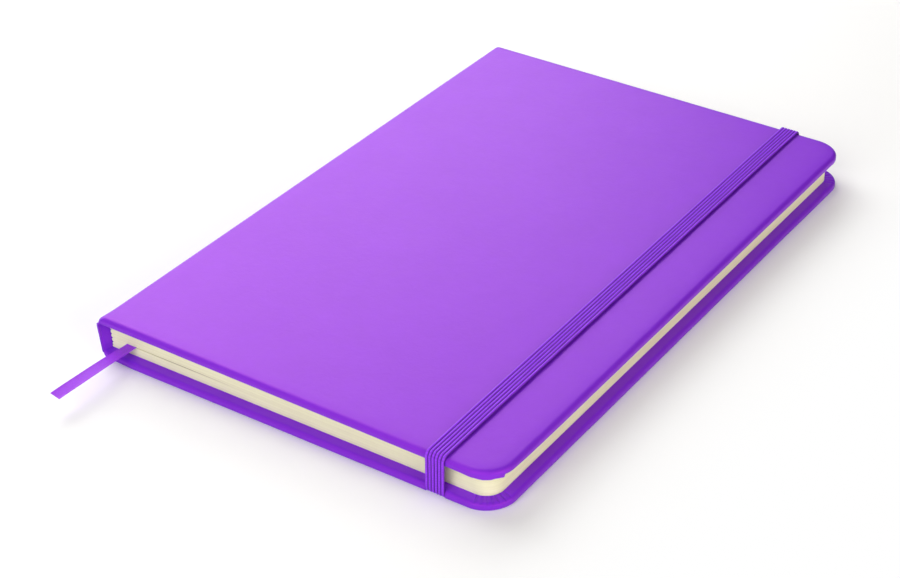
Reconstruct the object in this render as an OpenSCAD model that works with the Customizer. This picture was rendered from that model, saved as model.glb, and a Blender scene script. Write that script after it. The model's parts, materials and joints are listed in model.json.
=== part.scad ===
// Hardcover notebook with an elastic closure and a ribbon marker.
// It lies closed on its back cover: spine at -X, fore edge at +X, head at +Y, tail at -Y.
// The origin is the middle of the underside. All lengths are in millimetres.

/* [Cover] */
// Height of the cover, head to tail
cover_h = 210; // [180:1:240]
// Width of the cover, spine to fore edge
cover_w = 135; // [120:1:160]
// Thickness of the closed notebook at the spine
spine_t = 14.2; // [12:0.1:20]
// Thickness of one covered board
cover_t = 2.6; // [2.4:0.1:3.4]
// Slope of the front cover down to the fore edge, in degrees
lean = 0.62; // [0:0.02:1]
// Radius of the two fore corners of a cover, seen from above
corner_r = 9; // [7:0.5:12]
// Rounding of the outer edge of the leatherette
edge_r = 1.1; // [0.9:0.05:1.15]
// Rounding of the inner edge of the leatherette
inner_edge_r = 0.6; // [0.3:0.05:0.7]
// Thickness of the leatherette
leather_t = 0.5; // [0.4:0.05:0.55]
// Width of the leatherette that is turned in over the board
turn_in = 13; // [10:0.5:15]
// Number of pleats gathered at each rounded corner
pleats = 7; // [3:1:9]

/* [Pages] */
// How far the pages stand back from the edge of the cover
page_inset = 3.2; // [2.5:0.1:5]
// Radius of the fore corners of the pages
page_corner_r = 5.5; // [4:0.5:8]
// Number of folded and sewn sections
sections = 6; // [4:1:8]
// Thickness of an endpaper
endpaper_t = 0.2; // [0.15:0.05:0.25]
// Air between a cover and the loose endpaper under it
cover_gap = 0.1; // [0.08:0.02:0.2]
// Number of sewing stations along the spine
stations = 6; // [4:1:8]
// Thickness of the sewing thread
thread_d = 0.3; // [0.2:0.02:0.3]

/* [Elastic closure] */
// Width of the elastic
elastic_w = 6.1; // [5:0.1:8]
// Thickness of the elastic over its ribs
elastic_t = 0.8; // [0.6:0.05:0.8]
// Number of woven ribs across the elastic
elastic_ribs = 6; // [3:1:8]
// From the middle of the elastic to the fore edge
elastic_from_fore = 18.9; // [17:0.1:30]
// From the head or tail edge to the slit that the elastic goes through
slit_from_edge = 16; // [15:0.5:25]
// Length of the end that is glued down behind the slit
glued_end = 15; // [10:1:20]

/* [Ribbon marker] */
// Width of the ribbon
ribbon_w = 3.5; // [3:0.1:4]
// Thickness of the ribbon
ribbon_t = 0.3; // [0.2:0.02:0.3]
// From the middle of the ribbon to the outside of the spine
ribbon_from_spine = 8.2; // [7.5:0.1:9]
// Height of the ribbon above the table, where it leaves the pages
ribbon_z = 5.5; // [5:0.1:6]

/* [Hidden] */

leather_colour = [0.58, 0.30, 0.87];
elastic_colour = [0.50, 0.22, 0.80];
ribbon_colour = [0.62, 0.34, 0.95];
board_colour = [0.62, 0.60, 0.56];
paper_colour = [0.90, 0.86, 0.76];
lining_colour = [0.80, 0.72, 0.56];
thread_colour = [0.95, 0.94, 0.90];

$fn = 48;
eps = 0.01;
cut = 1;

// A cover turns about the middle of its own thickness, close to the spine.
hinge_x = -cover_w / 2 + cover_t / 2;
front_hinge_z = spine_t - cover_t / 2;
back_hinge_z = cover_t / 2;
cover_len = cover_w - cover_t / 2;
board_t = cover_t - 2 * leather_t;
board_edge_r = 0.35;
hinge_gap = 0.1;

// Planes of the back half of the notebook, from the table up.
back_flyleaf_z = cover_t + endpaper_t + cover_gap;
block_z = back_flyleaf_z + endpaper_t;
page_fore_x = cover_w / 2 - page_inset;
page_h = cover_h - 2 * page_inset;

// The spine and what lies between it and the folded sections.
spine_in_x = -cover_w / 2 + cover_t;
lining_t = 0.7;
fold_x = spine_in_x + lining_t;
spine_z0 = cover_t + hinge_gap;
spine_z1 = spine_t - cover_t - hinge_gap;
stack_drop = cover_t / 2 + 2 * endpaper_t + cover_gap;
function block_top(x) = front_hinge_z - stack_drop / cos(lean) - (x - hinge_x) * tan(lean);
section_pitch = (block_top(fold_x) - block_z) / sections;
section_r = 0.53 * section_pitch;
thread_x = fold_x + section_r - eps - sqrt(pow(section_r + thread_d / 2, 2) - pow(section_pitch / 2, 2));

// The elastic lies this far off what it passes round.
elastic_air = 0.05;
elastic_x = cover_w / 2 - elastic_from_fore;
elastic_base_t = 0.55 * elastic_t;
rib_pitch = elastic_w / elastic_ribs;
rib_r = 0.48 * rib_pitch;
elastic_out_y = cover_h / 2 + elastic_air;
elastic_bend_r = edge_r + elastic_air;
elastic_low_x = elastic_x - elastic_w / 2;
elastic_top_z = spine_t - (elastic_low_x - hinge_x) * tan(lean) + elastic_air;
slit_y = cover_h / 2 - slit_from_edge;
board_in_z = back_hinge_z + board_t / 2;

// The ribbon.
ribbon_x = -cover_w / 2 + ribbon_from_spine;
ribbon_back_z = block_z + section_pitch * sections / 2;
ribbon_tab_x = fold_x - ribbon_t / 2 - 2 * eps;
ribbon_tab_y = 88;
page_edge_y = page_h / 2;
parting_end_x = -28;
parting_h = ribbon_t + 0.06;

// A point of the ribbon: x, y, z, and how far it has turned from upright to flat.
ribbon_held_route = [
    [ribbon_tab_x, ribbon_tab_y + 0.5, ribbon_back_z, 0],
    [ribbon_tab_x, 95, ribbon_back_z, 0],
    [ribbon_tab_x, page_edge_y, ribbon_back_z, 0],
    [ribbon_tab_x + 0.25, page_edge_y + 1.0, ribbon_back_z, 0],
    [ribbon_tab_x + 1.0, page_edge_y + 1.7, ribbon_back_z - 0.2, 8],
    [ribbon_tab_x + 2.1, page_edge_y + 2.0, ribbon_back_z - 0.6, 22],
    [ribbon_tab_x + 3.3, page_edge_y + 1.8, ribbon_back_z - 1.0, 42],
    [ribbon_x - 0.6, page_edge_y + 1.4, ribbon_z + 0.3, 64],
    [ribbon_x - 0.15, page_edge_y + 0.8, ribbon_z + 0.05, 82],
    [ribbon_x, page_edge_y + 0.3, ribbon_z, 90],
    [ribbon_x, page_edge_y - 0.5, ribbon_z, 90],
    [ribbon_x, 0, ribbon_z, 90],
    [ribbon_x, -page_edge_y, ribbon_z, 90]
];
ribbon_free_route = [
    [ribbon_x, -page_edge_y, ribbon_z, 90],
    [ribbon_x, -page_edge_y - 2, ribbon_z, 90],
    [ribbon_x - 0.03, -page_edge_y - 5, ribbon_z + 0.02, 88],
    [ribbon_x - 0.08, -page_edge_y - 9, ribbon_z + 0.08, 86],
    [ribbon_x - 0.16, -page_edge_y - 13, ribbon_z + 0.16, 83],
    [ribbon_x - 0.26, -page_edge_y - 18, ribbon_z + 0.28, 80],
    [ribbon_x - 0.38, -page_edge_y - 23, ribbon_z + 0.42, 77],
    [ribbon_x - 0.52, -page_edge_y - 27, ribbon_z + 0.54, 75],
    [ribbon_x - 0.66, -page_edge_y - 31, ribbon_z + 0.64, 74]
];

// What is drawn at the head (side 1) is mirrored to the tail (side -1).
module at_end(side) {
    mirror([0, side < 0 ? 1 : 0, 0]) children();
}

// Placing the two covers. In a cover's own frame the hinge axis is the Y axis,
// the outer face is up and the inner face is down.

module on_front() {
    translate([hinge_x, 0, front_hinge_z]) rotate([0, lean, 0]) children();
}

module on_back() {
    translate([hinge_x, 0, back_hinge_z]) mirror([0, 0, 1]) children();
}

// Covered boards.

// Section of a slab's edge: reach outwards, thickness t, rounded above and below.
module edge_section(reach, t, r_up, r_down) {
    difference() {
        translate([0, -t / 2]) square([reach, t]);
        translate([reach - r_up, t / 2 - r_up]) corner_waste(r_up);
        translate([reach - r_down, -t / 2 + r_down]) mirror([0, 1]) corner_waste(r_down);
    }
}

module corner_waste(r) {
    difference() {
        square([r + cut, r + cut]);
        circle(r);
    }
}

// One straight side of a slab, centred, facing the direction in degrees.
module edge_run(length, facing, reach, t, r_up, r_down) {
    rotate([0, 0, facing]) rotate([90, 0, 0]) linear_extrude(length, center = true)
        edge_section(reach, t, r_up, r_down);
}

// A board with two rounded fore corners and a round hinge edge, drawn inside the cover's outline.
module slab(inset, t, r_up, r_down) {
    len = cover_len - inset;
    half_h = cover_h / 2 - inset;
    r = corner_r - inset;
    mid_x = (len - r) / 2;
    translate([0, -half_h + r, -t / 2]) cube([len - r, 2 * (half_h - r), t]);
    translate([len - r, 0, 0]) edge_run(2 * (half_h - r), 0, r, t, r_up, r_down);
    for (side = [-1, 1]) {
        translate([mid_x, side * (half_h - r), 0]) edge_run(len - r, side * 90, r, t, r_up, r_down);
        translate([len - r, side * (half_h - r), 0]) rotate([0, 0, side > 0 ? 0 : -90])
            rotate_extrude(angle = 90) edge_section(r, t, r_up, r_down);
    }
    rotate([90, 0, 0]) cylinder(r = t / 2, h = 2 * half_h, center = true);
}

module cover_slab() {
    slab(0, cover_t, edge_r, inner_edge_r);
}

module board_slab() {
    slab(leather_t, board_t, board_edge_r, board_edge_r);
}

// The part of the inner face that the turned-in leatherette leaves bare.
module window(grow, z0, z1) {
    half_h = cover_h / 2 - turn_in + grow;
    translate([0, -half_h, z0]) cube([cover_len - turn_in + grow, 2 * half_h, z1 - z0]);
}

// Grooves between the pleats, gathered round the two fore corners of the turned-in leatherette.
module pleat_grooves() {
    pleat_len = 5;
    pleat_half_w = 0.2;
    pleat_depth = 0.3;
    for (side = [-1, 1], i = [0 : pleats - 1]) {
        translate([cover_len - corner_r, side * (cover_h / 2 - corner_r), -cover_t / 2])
            rotate([0, 0, side * (8 + i * 74 / (pleats - 1))])
            translate([corner_r - pleat_len, 0, 0])
            rotate([90, 0, 90]) linear_extrude(pleat_len + cut)
            polygon([[-pleat_half_w, -eps], [pleat_half_w, -eps], [0, pleat_depth]]);
    }
}

// Leatherette drawn over the outside of a board and turned in over three of its edges.
module cover_leather() {
    difference() {
        cover_slab();
        board_slab();
        window(0, -cover_t / 2 - cut, -board_t / 2 + eps);
        pleat_grooves();
    }
}

// Outline of the paper, with rounded fore corners, from x0 to the fore edge.
module page_outline(x0, x1) {
    r = page_corner_r;
    translate([x0, -page_edge_y]) square([x1 - x0 - r, page_h]);
    translate([x0, -page_edge_y + r]) square([x1 - x0, page_h - 2 * r]);
    for (side = [-1, 1]) translate([x1 - r, side * (page_edge_y - r)]) circle(r);
}

// The glued half of an endpaper. It lies over the turned-in leatherette and dips to the board.
module pastedown() {
    start_x = cover_t / 2 + hinge_gap;
    low = -board_t / 2 - endpaper_t;
    high = -cover_t / 2 - endpaper_t;
    difference() {
        translate([0, 0, high]) linear_extrude(endpaper_t)
            page_outline(start_x, cover_len - page_inset);
        window(-endpaper_t, high - cut, 0);
    }
    intersection() {
        difference() {
            window(0, high, -board_t / 2);
            window(-endpaper_t, high - cut, low);
        }
        translate([start_x, -cover_h / 2, high - cut]) cube([cover_len, cover_h, cover_t]);
    }
}

module front_cover_leather() {
    color(leather_colour) on_front() cover_leather();
}

module front_board() {
    color(board_colour) on_front() board_slab();
}

module front_pastedown() {
    color(paper_colour) on_front() pastedown();
}

// The back cover has a channel for the elastic at the head and at the tail, lined with
// leatherette, and a slit at the end of each channel.

module back_cover_leather() {
    color(leather_colour) difference() {
        union() {
            on_back() cover_leather();
            intersection() {
                on_back() cover_slab();
                elastic_channel(leather_t);
            }
        }
        elastic_channel(elastic_air);
        slits();
    }
}

module back_board() {
    color(board_colour) difference() {
        on_back() board_slab();
        elastic_channel(leather_t);
        slits();
        for (side = [-1, 1]) at_end(side) glued_end_box(elastic_air);
    }
}

module back_pastedown() {
    color(paper_colour) on_back() pastedown();
}

// Elastic closure. Its section is drawn with X outwards and Y across the width.

module ribbed_section() {
    intersection() {
        translate([0, -elastic_w / 2]) square([elastic_t, elastic_w]);
        union() {
            translate([0, -elastic_w / 2]) square([elastic_base_t, elastic_w]);
            for (i = [0 : elastic_ribs - 1])
                translate([elastic_t - rib_r, (i - (elastic_ribs - 1) / 2) * rib_pitch])
                    circle(rib_r);
        }
    }
}

module plain_section(grow) {
    translate([-grow, -elastic_w / 2 - grow]) square([elastic_t + cut + grow, elastic_w + 2 * grow]);
}

// The loop is drawn flat, as seen from the fore edge: X is the height of the page, Y is up.
// A run goes in the direction dir with its outer side on the left; a bend turns right.
module in_loop_plane() {
    translate([elastic_x, 0, 0]) rotate([90, 0, 90]) children();
}

module run(from, dir, length) {
    translate(from) rotate([0, 0, dir]) rotate([90, 0, 90]) linear_extrude(length) children();
}

module bend(centre, start) {
    translate(centre) rotate([0, 0, start])
        rotate_extrude(angle = 90) translate([elastic_bend_r, 0]) children();
}

// The stretch under the head half of the back cover, from the slit round the edge.
module loop_under() {
    bend_y = elastic_out_y - elastic_bend_r;
    run([bend_y, elastic_t], 180, bend_y - slit_y) children();
    bend([bend_y, elastic_t + elastic_bend_r], -90) children();
}

// The stretch up the head edge, round the front cover and half-way along it.
module loop_over() {
    bend_y = elastic_out_y - elastic_bend_r;
    low_z = elastic_t + elastic_bend_r;
    high_z = elastic_top_z - elastic_bend_r;
    run([elastic_out_y, high_z], -90, high_z - low_z) children();
    bend([bend_y, high_z], 0) children();
    run([0, elastic_top_z], 0, bend_y) children();
}

module elastic_channel(grow) {
    for (side = [-1, 1]) at_end(side) in_loop_plane() loop_under() plain_section(grow);
}

module slits() {
    w = elastic_w + 2 * elastic_air;
    for (side = [-1, 1]) at_end(side)
        translate([elastic_x - w / 2, slit_y - elastic_t - elastic_air, -cut])
            cube([w, elastic_t + 2 * elastic_air, cover_t + 2 * cut]);
}

module glued_end_box(grow) {
    translate([
        elastic_x - elastic_w / 2 - grow,
        slit_y - elastic_t - glued_end - grow,
        board_in_z - elastic_t
    ]) cube([elastic_w + 2 * grow, glued_end + grow + eps, elastic_t + (grow > 0 ? cut : 0)]);
}

module elastic_band() {
    color(elastic_colour) for (side = [-1, 1]) at_end(side) {
        in_loop_plane() {
            loop_under() ribbed_section();
            loop_over() ribbed_section();
        }
        translate([elastic_x - elastic_w / 2, slit_y - elastic_t, 0])
            cube([elastic_w, elastic_t, board_in_z]);
        glued_end_box(0);
    }
}

// Page block.

// Section across the spine: a wedge with one round back to each folded section.
module block_section() {
    body_x = fold_x + section_r;
    intersection() {
        polygon([
            [fold_x - cut, block_z], [page_fore_x, block_z],
            [page_fore_x, block_top(page_fore_x)], [fold_x - cut, block_top(fold_x - cut)]
        ]);
        union() {
            translate([body_x, 0]) square([page_fore_x - body_x, spine_t]);
            for (i = [0 : sections - 1])
                translate([body_x, block_z + (i + 0.5) * section_pitch]) circle(section_r);
        }
    }
}

// Where the ribbon lies, the pages part in a thin wedge that closes towards the fore edge.
module parting_section() {
    x0 = ribbon_x - ribbon_w / 2 - 0.1;
    x1 = ribbon_x + ribbon_w / 2 + 0.1;
    polygon([
        [x0, ribbon_z - parting_h / 2], [x1, ribbon_z - parting_h / 2],
        [parting_end_x, ribbon_z], [x1, ribbon_z + parting_h / 2], [x0, ribbon_z + parting_h / 2]
    ]);
}

module page_block() {
    color(paper_colour) intersection() {
        linear_extrude(spine_t) page_outline(fold_x - cut, page_fore_x);
        rotate([90, 0, 0]) linear_extrude(cover_h, center = true) difference() {
            block_section();
            parting_section();
        }
    }
}

module front_flyleaf() {
    color(paper_colour) on_front() translate([0, 0, -stack_drop])
        linear_extrude(endpaper_t) page_outline(fold_x + section_r - hinge_x, cover_len - page_inset);
}

module back_flyleaf() {
    color(paper_colour) translate([0, 0, back_flyleaf_z])
        linear_extrude(endpaper_t) page_outline(fold_x + section_r, page_fore_x);
}

// Thread links that lie in the valleys between the folded sections.
module sewing_thread() {
    link_len = 12;
    station_pitch = (page_h - 30) / (stations - 1);
    color(thread_colour) for (i = [1 : sections - 1], j = [0 : stations - 1])
        translate([
            thread_x,
            -page_h / 2 + 15 + j * station_pitch,
            block_z + i * section_pitch
        ]) rotate([90, 0, 0]) cylinder(d = thread_d, h = link_len, center = true);
}

// Spine.

// Gauze and paper glued over the folds, with a recess for the glued end of the ribbon.
module spine_lining() {
    lining_end = 3;
    color(lining_colour) difference() {
        translate([spine_in_x, -page_edge_y + lining_end, block_z + endpaper_t])
            cube([lining_t, page_h - 2 * lining_end, section_pitch * sections - 2 * endpaper_t]);
        translate([ribbon_tab_x - ribbon_t / 2 - eps, ribbon_tab_y, ribbon_back_z - ribbon_w / 2 - 0.1])
            cube([lining_t, cover_h, ribbon_w + 0.2]);
    }
}

// Plan of the spine: a flat strip with rounded ends, drawn inside the leatherette.
module spine_outline(inset, r_out, r_in) {
    half_h = cover_h / 2 - inset;
    t = cover_t - 2 * inset;
    difference() {
        translate([-t / 2, -half_h]) square([t, 2 * half_h]);
        for (side = [-1, 1]) mirror([0, side < 0 ? 1 : 0]) {
            translate([-t / 2 + r_out, half_h - r_out]) mirror([1, 0]) corner_waste(r_out);
            translate([t / 2 - r_in, half_h - r_in]) corner_waste(r_in);
        }
    }
}

module spine_prism() {
    translate([spine_in_x - cover_t / 2, 0, spine_z0]) linear_extrude(spine_z1 - spine_z0) children();
}

module spine_leather() {
    bare_half_h = cover_h / 2 - turn_in;
    color(leather_colour) spine_prism() difference() {
        spine_outline(0, edge_r, inner_edge_r);
        spine_outline(leather_t, board_edge_r, board_edge_r);
        translate([board_t / 2 - eps, -bare_half_h]) square([leather_t + cut, 2 * bare_half_h]);
    }
}

module spine_board() {
    color(board_colour) spine_prism() spine_outline(leather_t, board_edge_r, board_edge_r);
}

// Ribbon.

function heading(route, i) =
    let (a = route[max(i - 1, 0)], b = route[min(i + 1, len(route) - 1)], d = [b[0] - a[0], b[1] - a[1]])
    d / norm(d);

// The four corners of the ribbon at one point of its route.
function ribbon_ring(route, i) =
    let (
        p = route[i],
        h = heading(route, i),
        side = [-h[1], h[0], 0],
        across = cos(p[3]) * [0, 0, 1] + sin(p[3]) * side,
        through = cos(p[3]) * side - sin(p[3]) * [0, 0, 1],
        centre = [p[0], p[1], p[2]]
    ) [for (c = [[-1, -1], [1, -1], [1, 1], [-1, 1]])
        centre + c[0] * across * ribbon_w / 2 + c[1] * through * ribbon_t / 2];

module ribbon_sweep(route) {
    rings = len(route);
    points = [for (i = [0 : rings - 1]) each ribbon_ring(route, i)];
    sides = [for (i = [0 : rings - 2], k = [0 : 3])
        let (a = 4 * i + k, b = 4 * i + (k + 1) % 4)
        each (k < 2 ? [[a, b, b + 4], [a, b + 4, a + 4]] : [[a, b, a + 4], [b, b + 4, a + 4]])];
    last = 4 * (rings - 1);
    polyhedron(points, concat([[3, 2, 1, 0], [last, last + 1, last + 2, last + 3]], sides));
}

module ribbon_marker() {
    color(ribbon_colour) ribbon_sweep(ribbon_held_route);
}

module ribbon_tail() {
    color(ribbon_colour) ribbon_sweep(ribbon_free_route);
}

front_cover_leather();
front_board();
front_pastedown();
page_block();
front_flyleaf();
back_flyleaf();
sewing_thread();
spine_lining();
spine_leather();
spine_board();
ribbon_marker();
ribbon_tail();
back_cover_leather();
back_board();
back_pastedown();
elastic_band();
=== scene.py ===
# %% [markdown]
# # A hardcover notebook
#
# This script dresses a closed notebook: grey boards in soft-touch leatherette, a block of cream
# pages, a ribbed elastic that holds it shut and a ribbon marker. The solid model gives the real
# sizes and the hinges, and everything here is built round it, in metres, in the same frame:
# spine at -X, fore edge at +X, head at +Y, tail at -Y, and the table at z = 0.
#
# The model is loaded first. Its own box is kept, so that the finished look can be measured
# against it at the end.

# %% Load the solid model
import json
import math

import bmesh
import bpy
from mathutils import Matrix, Vector, noise


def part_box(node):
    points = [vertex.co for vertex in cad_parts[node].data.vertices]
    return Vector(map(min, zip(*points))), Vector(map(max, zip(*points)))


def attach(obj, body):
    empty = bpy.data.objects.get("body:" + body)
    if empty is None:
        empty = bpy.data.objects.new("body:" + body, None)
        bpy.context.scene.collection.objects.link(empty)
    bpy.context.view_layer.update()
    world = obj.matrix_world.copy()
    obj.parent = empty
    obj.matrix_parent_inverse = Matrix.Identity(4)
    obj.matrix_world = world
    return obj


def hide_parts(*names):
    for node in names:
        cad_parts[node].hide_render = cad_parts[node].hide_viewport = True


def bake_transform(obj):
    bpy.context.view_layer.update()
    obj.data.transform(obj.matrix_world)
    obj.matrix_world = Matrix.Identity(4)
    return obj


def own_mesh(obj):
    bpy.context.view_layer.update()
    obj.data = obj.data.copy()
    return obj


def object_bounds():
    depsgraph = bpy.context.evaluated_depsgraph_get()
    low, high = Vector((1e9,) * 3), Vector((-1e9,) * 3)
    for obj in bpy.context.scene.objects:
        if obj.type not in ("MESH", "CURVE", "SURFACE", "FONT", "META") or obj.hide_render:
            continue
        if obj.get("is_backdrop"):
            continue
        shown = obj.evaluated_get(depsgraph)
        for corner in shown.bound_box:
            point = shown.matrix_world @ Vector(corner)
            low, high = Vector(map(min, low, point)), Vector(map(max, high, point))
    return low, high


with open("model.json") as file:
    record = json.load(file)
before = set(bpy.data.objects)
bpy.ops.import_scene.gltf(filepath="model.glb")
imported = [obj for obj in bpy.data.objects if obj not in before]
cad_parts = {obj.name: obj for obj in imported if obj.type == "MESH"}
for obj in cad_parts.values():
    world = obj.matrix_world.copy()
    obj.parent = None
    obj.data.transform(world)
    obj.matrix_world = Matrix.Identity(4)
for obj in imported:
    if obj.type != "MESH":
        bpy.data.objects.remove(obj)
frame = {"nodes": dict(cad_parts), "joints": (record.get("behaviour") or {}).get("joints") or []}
solid_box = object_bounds()
MM = 0.001


def linked(name, data):
    made = bpy.data.objects.new(name, data)
    bpy.context.collection.objects.link(made)
    return made


def stands_for(piece, body, node):
    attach(piece, body)
    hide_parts(node)


# %% [markdown]
# Every size comes from the solids. The back cover lies flat on the table, so its box gives the
# height, the width and the thickness of a cover. The joints give the two hinge lines, each in
# the middle of its cover's thickness. From here on lengths are in millimetres, and become metres
# when a mesh is made.

# %% Sizes of the notebook
cover_low, cover_high = (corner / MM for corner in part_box("back_cover_leather"))
cover_h = cover_high.y - cover_low.y
cover_t = cover_high.z - cover_low.z
half_h, half_t = cover_h / 2, cover_t / 2
hinges = {joint["name"]: Vector(joint["pos_m"]) / MM for joint in frame["joints"]}
hinge_x = hinges["front_hinge"].x
cover_len = cover_high.x - hinge_x
spine_mid_z = (hinges["front_hinge"].z + hinges["back_hinge"].z) / 2
lean = math.radians(0.62)
corner_r = 9.0
page_inset = 3.2
page_edge_y = half_h - page_inset
print(f"cover: {cover_len:.1f} from hinge to fore edge, {cover_h:.1f} high, {cover_t:.2f} thick")
print("hinges:", {name: tuple(round(c, 2) for c in place) for name, place in hinges.items()})

# %% [markdown]
# ## The camera
#
# The camera looks down on the fore and tail edges from the right. Its place, its angles and its
# focal length were fitted to the notebook's straight edges: an edge of known length leaves only
# one camera that sees it at that size and slant. The rotation is built from three axes, which is
# easier to read than Euler angles.

# %% Camera
yaw, pitch, roll = (math.radians(angle) for angle in (34.349, 32.661, -0.801))
camera_place = Vector((292.326, -453.767, 336.861))
focal_length, sensor_width = 82.222, 36
level = math.cos(pitch)
forwards = Vector((-math.sin(yaw) * level, math.cos(yaw) * level, -math.sin(pitch)))
level_right = Vector((math.cos(yaw), math.sin(yaw), 0))
level_up = level_right.cross(forwards)
right = math.cos(roll) * level_right + math.sin(roll) * level_up
up = -math.sin(roll) * level_right + math.cos(roll) * level_up

camera_data = bpy.data.cameras.new("camera")
camera_data.sensor_fit = "HORIZONTAL"
camera_data.sensor_width = sensor_width
camera_data.lens = focal_length
camera = linked("camera", camera_data)
camera_turn = Matrix((right, up, -forwards)).transposed().to_4x4()
camera.matrix_world = Matrix.Translation(camera_place * MM) @ camera_turn
bpy.context.scene.camera = camera
print("camera looks along", tuple(round(c, 3) for c in forwards))

# %% [markdown]
# ## Shader helpers
#
# A finish is a formula: a grain, plus a little cloudiness, times a colour. Blender writes it as a
# tree of nodes. `Wire` wraps the output of a node, so that a sum or product of wires adds its
# Math node by itself. Every other node comes from `NodeMaker.add`, which sets the node's own
# settings first and then feeds its sockets.

# %% Wire: a socket that can be calculated with
class Wire:
    def __init__(self, maker, socket):
        self.maker = maker
        self.socket = socket

    def math(self, operation, *others):
        sockets = dict(enumerate((self, *others)))
        return self.maker.add("ShaderNodeMath", {"operation": operation}, sockets)

    def __add__(self, other):
        return self.math("ADD", other)

    def __sub__(self, other):
        return self.math("SUBTRACT", other)

    def __mul__(self, other):
        return self.math("MULTIPLY", other)

    def __rsub__(self, other):
        return self * -1 + other

    __radd__ = __add__
    __rmul__ = __mul__


# %% NodeMaker: the nodes of one tree
class NodeMaker:
    def __init__(self, tree):
        self.nodes = tree.nodes
        self.links = tree.links

    def feed(self, socket, value):
        if isinstance(value, Wire):
            self.links.new(value.socket, socket)
        elif hasattr(value, "__len__") and len(value) == 3 and socket.type == "RGBA":
            socket.default_value = (*value, 1)
        else:
            socket.default_value = value

    def add(self, kind, settings, sockets, out=0):
        node = self.nodes.new(kind)
        for key, value in settings.items():
            setattr(node, key, value)
        for key, value in sockets.items():
            self.feed(node.inputs[key], value)
        return Wire(self, node.outputs[out])


# %% Finish: one material, made of nodes
class Finish(NodeMaker):
    """A material on the Principled shader. Constants go on the shader's own sockets."""

    def __init__(self, name, **constants):
        self.material = bpy.data.materials.new(name)
        self.material.use_nodes = True
        super().__init__(self.material.node_tree)
        self.shader = self.nodes["Principled BSDF"]
        for socket, value in constants.items():
            self.feed(self.shader.inputs[socket.replace("_", " ")], value)

    def place(self, attribute=None):
        """Where a point lies at rest, in metres: as stored on a mesh, or the object's own frame."""
        if attribute:
            return self.add("ShaderNodeAttribute", {"attribute_name": attribute}, {}, "Vector")
        return self.add("ShaderNodeTexCoord", {}, {}, "Object")

    def axis(self, place, letter):
        return self.add("ShaderNodeSeparateXYZ", {}, {0: place}, letter)

    def stretch(self, place, scale):
        return self.add("ShaderNodeVectorMath", {"operation": "MULTIPLY"}, {0: place, 1: scale})

    def noise(self, place, scale, detail=2.0, roughness=0.5, distortion=0.0):
        sockets = {"Vector": place, "Scale": scale, "Detail": detail}
        sockets |= {"Roughness": roughness, "Distortion": distortion}
        return self.add("ShaderNodeTexNoise", {}, sockets)

    def between(self, wire, low, high, to_low=0.0, to_high=1.0, slope="LINEAR"):
        sockets = {"Value": wire, "From Min": low, "From Max": high}
        sockets |= {"To Min": to_low, "To Max": to_high}
        return self.add("ShaderNodeMapRange", {"interpolation_type": slope}, sockets)

    def mix(self, factor, first, second):
        sockets = {0: factor, 6: first, 7: second}
        return self.add("ShaderNodeMix", {"data_type": "RGBA"}, sockets, 2)

    def colour(self, wire):
        self.feed(self.shader.inputs["Base Color"], wire)

    def roughness(self, wire):
        self.feed(self.shader.inputs["Roughness"], wire)

    def bump(self, height, depth, strength):
        """Relief that looks depth millimetres deep."""
        sockets = {"Height": height, "Distance": depth * MM, "Strength": strength}
        self.feed(self.shader.inputs["Normal"], self.add("ShaderNodeBump", {}, sockets))


def shade(colour, factor):
    """The same colour, lighter or darker."""
    return tuple(min(1, channel * factor) for channel in colour)


print("shader helpers ready")

# %% [markdown]
# ## Finishes
#
# The leatherette is a thin soft-touch plastic skin with hardly any grain. Three things show it:
# a broad satin sheen that shallow dimples a millimetre or two wide make uneven, a faint
# cloudiness in the colour, and a very fine pebbled grain that only appears where light grazes
# the edge. Dimples and grain are far shallower than a tenth of a millimetre, so they go into the
# material and not into the mesh. Where the leatherette is turned in, no hand polishes it, and it
# is duller; there its colour is also painted a little lighter, to stand in for the light that
# the shaded faces between the covers miss. Noise scales are in grains for each metre.

# %% Leatherette
LEATHER = (0.210, 0.026, 0.700)
SATIN = (1.0, 0.11, 0.76)
CLOUDS, SHEEN_PATCHES, DIMPLES, SPECKS, PEBBLES = 60.0, 260.0, 420.0, 1500.0, 2600.0


def leatherette(name, base, gloss):
    finish = Finish(name, Specular_IOR_Level=gloss, Specular_Tint=SATIN)
    place = finish.place("rest_place")
    cloud = finish.noise(place, CLOUDS, 6.0, 0.68) * 0.7 + finish.noise(place, DIMPLES) * 0.3
    tone = finish.between(cloud, 0.35, 0.65)
    finish.colour(finish.mix(tone, shade(base, 0.97), shade(base, 1.03)))
    patches = finish.noise(place, SHEEN_PATCHES)
    finish.roughness(finish.between(patches, 0.3, 0.7, 0.45, 0.48))
    pebbles = finish.add("ShaderNodeTexVoronoi", {}, {"Vector": place, "Scale": PEBBLES})
    grain = pebbles * 0.6 + finish.noise(place, SPECKS, 3.0) * 0.8
    dimples = finish.noise(place, DIMPLES, 4.0, 0.65, 0.4) * 6.0
    finish.bump(grain + dimples, 0.03, 0.35)
    return finish.material


leather_outside = leatherette("leatherette", LEATHER, 0.90)
# painted light: the turned-in faces get a colour 8 % lighter to make up for the shade they lie in
leather_inside_painted_lighter = leatherette("leatherette_turned_in_painted_lighter", shade(LEATHER, 1.08), 0.50)
print("leatherette ready")

# %% [markdown]
# The elastic is woven: each rib is a rubber thread wrapped in yarn, and fine weft yarns cross all
# six. The ribs are in the mesh, and the yarns are narrow waves along the strap, with a little
# noise so that no two are alike. The ribbon is satin: its yarns run lengthwise and very close,
# so it has soft long streaks and a stronger gloss.

# %% Elastic and ribbon
ELASTIC = (0.270, 0.036, 0.790)
RIBBON = (0.360, 0.036, 0.880)
YARN_TINT = (1.0, 0.55, 1.0)
FUZZ = 900.0


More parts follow.
